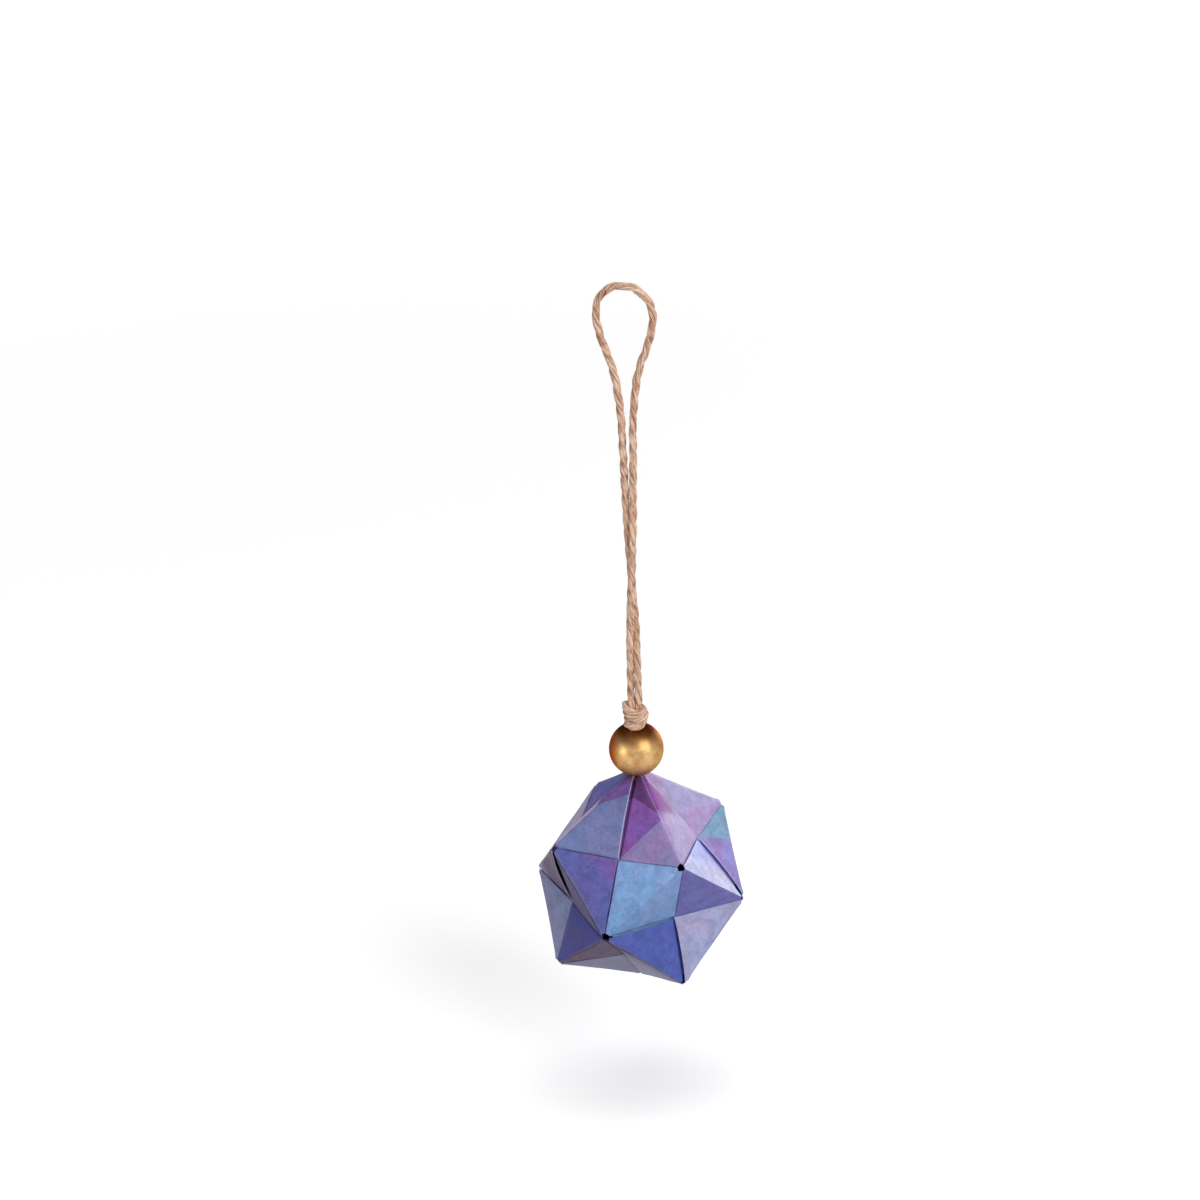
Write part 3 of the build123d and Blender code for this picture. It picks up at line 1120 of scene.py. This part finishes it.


def gold_material():
    """Gold paint on wood: satin metal with streaks and pits, painted shade at both holes and a
    painted orange reflection on one side.
    """
    material, nodes, shader = new_material(
        "gold_paint", {"Metallic": 0.85, "Specular Tint": (0.34, 0.18, 0.08, 1)}
    )
    spot = millimetres(nodes)
    clouds = nodes.noise(spot, 0.35, 3.0, 0.6)
    streaks = nodes.noise(nodes.stretched(spot, (0.5, 0.5, 1.8)), 1.0, 3.0, 0.6, 0.5)
    grain = nodes.noise(spot, 5.0, 3.0, 0.6)
    pits = nodes.add("TexVoronoi", {"Vector": spot, "Scale": 1.3}).outputs["Distance"]
    pits = nodes.step(pits, 0.05, 0.16, 1.0, 0.0)
    # Painted shade: the gold turns dark at the top and at the bottom, near both holes
    height_up = nodes.add("SeparateXYZ", {0: spot}).outputs["Z"]
    top = nodes.step(height_up, bead_centre.z + 2.5, bead_centre.z + 6.0)
    foot = nodes.step(height_up, bead_centre.z - 6.4, bead_centre.z - 3.4, 0.8, 0.0)
    bead_shade_mask = nodes.math("MAXIMUM", top, foot)
    middle = nodes.mix(nodes.step(clouds, 0.3, 0.7), solid(gold_deep), solid(gold_bright))
    gold = nodes.mix(bead_shade_mask, middle, solid(bead_shade_brown))
    # A painted orange reflection on one side of the bead
    to_side = nodes.vector("DOT_PRODUCT", spot, orange_reflection_side, "Value")
    uneven = nodes.step(clouds, 0.3, 0.7, -0.4, 0.4)
    orange_reflection_mask = nodes.step(nodes.plus(to_side, uneven), 4.0, 6.4)
    gold = nodes.mix(nodes.times(orange_reflection_mask, 0.85), gold, solid(orange_reflection_colour))
    gold = nodes.mix(nodes.step(streaks, 0.4, 0.7, 0.0, 0.25), gold, solid(streak_brown))
    gold = nodes.mix(nodes.times(pits, 0.3), gold, solid(pit_brown))
    nodes.feed(shader, base_color=gold, roughness=nodes.step(grain, 0.3, 0.7, 0.4, 0.48))
    height = nodes.plus(nodes.times(grain, 0.5), nodes.times(streaks, 0.4))
    height = nodes.math("SUBTRACT", height, nodes.times(pits, 0.6))
    use_bump(nodes, shader, height, 0.4, 0.05)
    return material


WASHI, FOLDED, FIBRES = washi_group(), folded_group(), fibre_group()
papers = {
    "crown": paper_material("crown_paper", 3.0, 1.0, 0.25),
    "upper": paper_material("upper_paper", 41.0, 1.1, 0.2),
    "lower": paper_material("lower_paper", 83.0, 1.0, 0.2),
    "base": paper_material("base_paper", 127.0, 0.9, 0.2),
}
for name, piece in paper_pieces.items():
    piece.data.materials.append(papers[name.split("_")[0]])
bead.data.materials.append(gold_material())
jute = twine_material("jute_twine", (150, 96, 68), (244, 208, 182))
for piece in [hanging_loop, *knots, *strands]:
    piece.data.materials.append(jute)
fuzz_jute = twine_material("jute_fuzz", (196, 160, 132), (232, 208, 186))
fuzz.data.materials.append(fuzz_jute)


# -------- floor and light

floor_height = -222.0
floor_half = 3.0  # in metres
near_glow, far_glow = 0.46, 0.85  # the lit table's own light, as the camera sees it
glow_start, glow_reach = 250.0, 1500.0  # from the world's origin
painted_shadow_middle = (-5.5, -7.5, 0.0)  # of a painted shadow under the ball, a soft dip in that light, in the floor's own axes
painted_shadow_half = (54.0, 27.0)
painted_shadow_depth = 0.17
room_light = 0.25


def studio_floor():
    """A matt white table that adds a glow of its own where the camera looks at it, with a painted
    shadow under the ball.
    """
    mesh = bpy.data.meshes.new("studio_floor")
    corners = [(x * floor_half, y * floor_half, floor_height * MM) for x, y in quarters]
    mesh.from_pydata(corners, [], [(0, 1, 2, 3)])
    floor = new_object("studio_floor", mesh)
    floor.rotation_euler = (0, 0, view_azimuth)
    matt = {"Roughness": 0.9, "Specular IOR Level": 0.1}
    material, nodes, shader = new_material("studio_white", matt)
    tone = nodes.step(nodes.noise(millimetres(nodes), 0.004, 2.0), 0.2, 0.8, 0.89, 0.9)
    white = nodes.add("CombineColor", {0: tone, 1: tone, 2: tone}).outputs[0]
    nodes.feed(shader, base_color=white)
    shader.inputs["Emission Color"].default_value = (1, 1, 1, 1)
    seen = nodes.add("LightPath").outputs["Is Camera Ray"]
    away = nodes.vector("LENGTH", millimetres(nodes), output="Value")
    glow = nodes.step(away, glow_start, glow_reach, near_glow, far_glow)
    # A painted shadow under the ball: the glow dips there
    from_painted_shadow = nodes.vector("SUBTRACT", millimetres(nodes), painted_shadow_middle)
    flat = nodes.stretched(from_painted_shadow, (1 / painted_shadow_half[0], 1 / painted_shadow_half[1], 0.0))
    reach = nodes.vector("LENGTH", flat, output="Value")
    glow = nodes.math("SUBTRACT", glow, nodes.step(reach, 0.1, 1.0, painted_shadow_depth, 0.0))
    nodes.feed(shader, emission_strength=nodes.times(seen, glow))
    mesh.materials.append(material)


def softbox(name, azimuth, elevation, distance, size, power, sheen_only=False):
    """A square area light that faces the ball, or lends it no more than a sheen."""
    light = bpy.data.lights.new(name, "AREA")
    light.shape = "SQUARE"
    light.size = size
    light.energy = power
    holder = new_object(name, light)
    turn, tilt = radians(azimuth), radians(elevation)
    way = Vector((sin(turn) * cos(tilt), -cos(turn) * cos(tilt), sin(tilt)))
    holder.location = ball_centre * MM + way * distance
    holder.rotation_euler = way.to_track_quat("Z", "Y").to_euler()
    holder.visible_diffuse = not sheen_only


studio_floor()
softbox("key_softbox", 62, 38, 0.9, 0.42, 4.2)
softbox("fill_softbox", -38, 12, 1.0, 0.35, 1.1)
softbox("top_softbox", 0, 86, 1.1, 1.1, 3.6)
softbox("rim_softbox", 168, 2, 1.0, 0.4, 3.2, sheen_only=True)
softbox("low_softbox", -34, 2, 1.0, 0.3, 1.6, sheen_only=True)

world = bpy.data.worlds.new("studio")
bpy.context.scene.world = world
world.use_nodes = True
background = world.node_tree.nodes["Background"]
background.inputs["Color"].default_value = (1.0, 1.0, 1.0, 1)
background.inputs["Strength"].default_value = room_light
bpy.context.scene.view_settings.view_transform = "Standard"
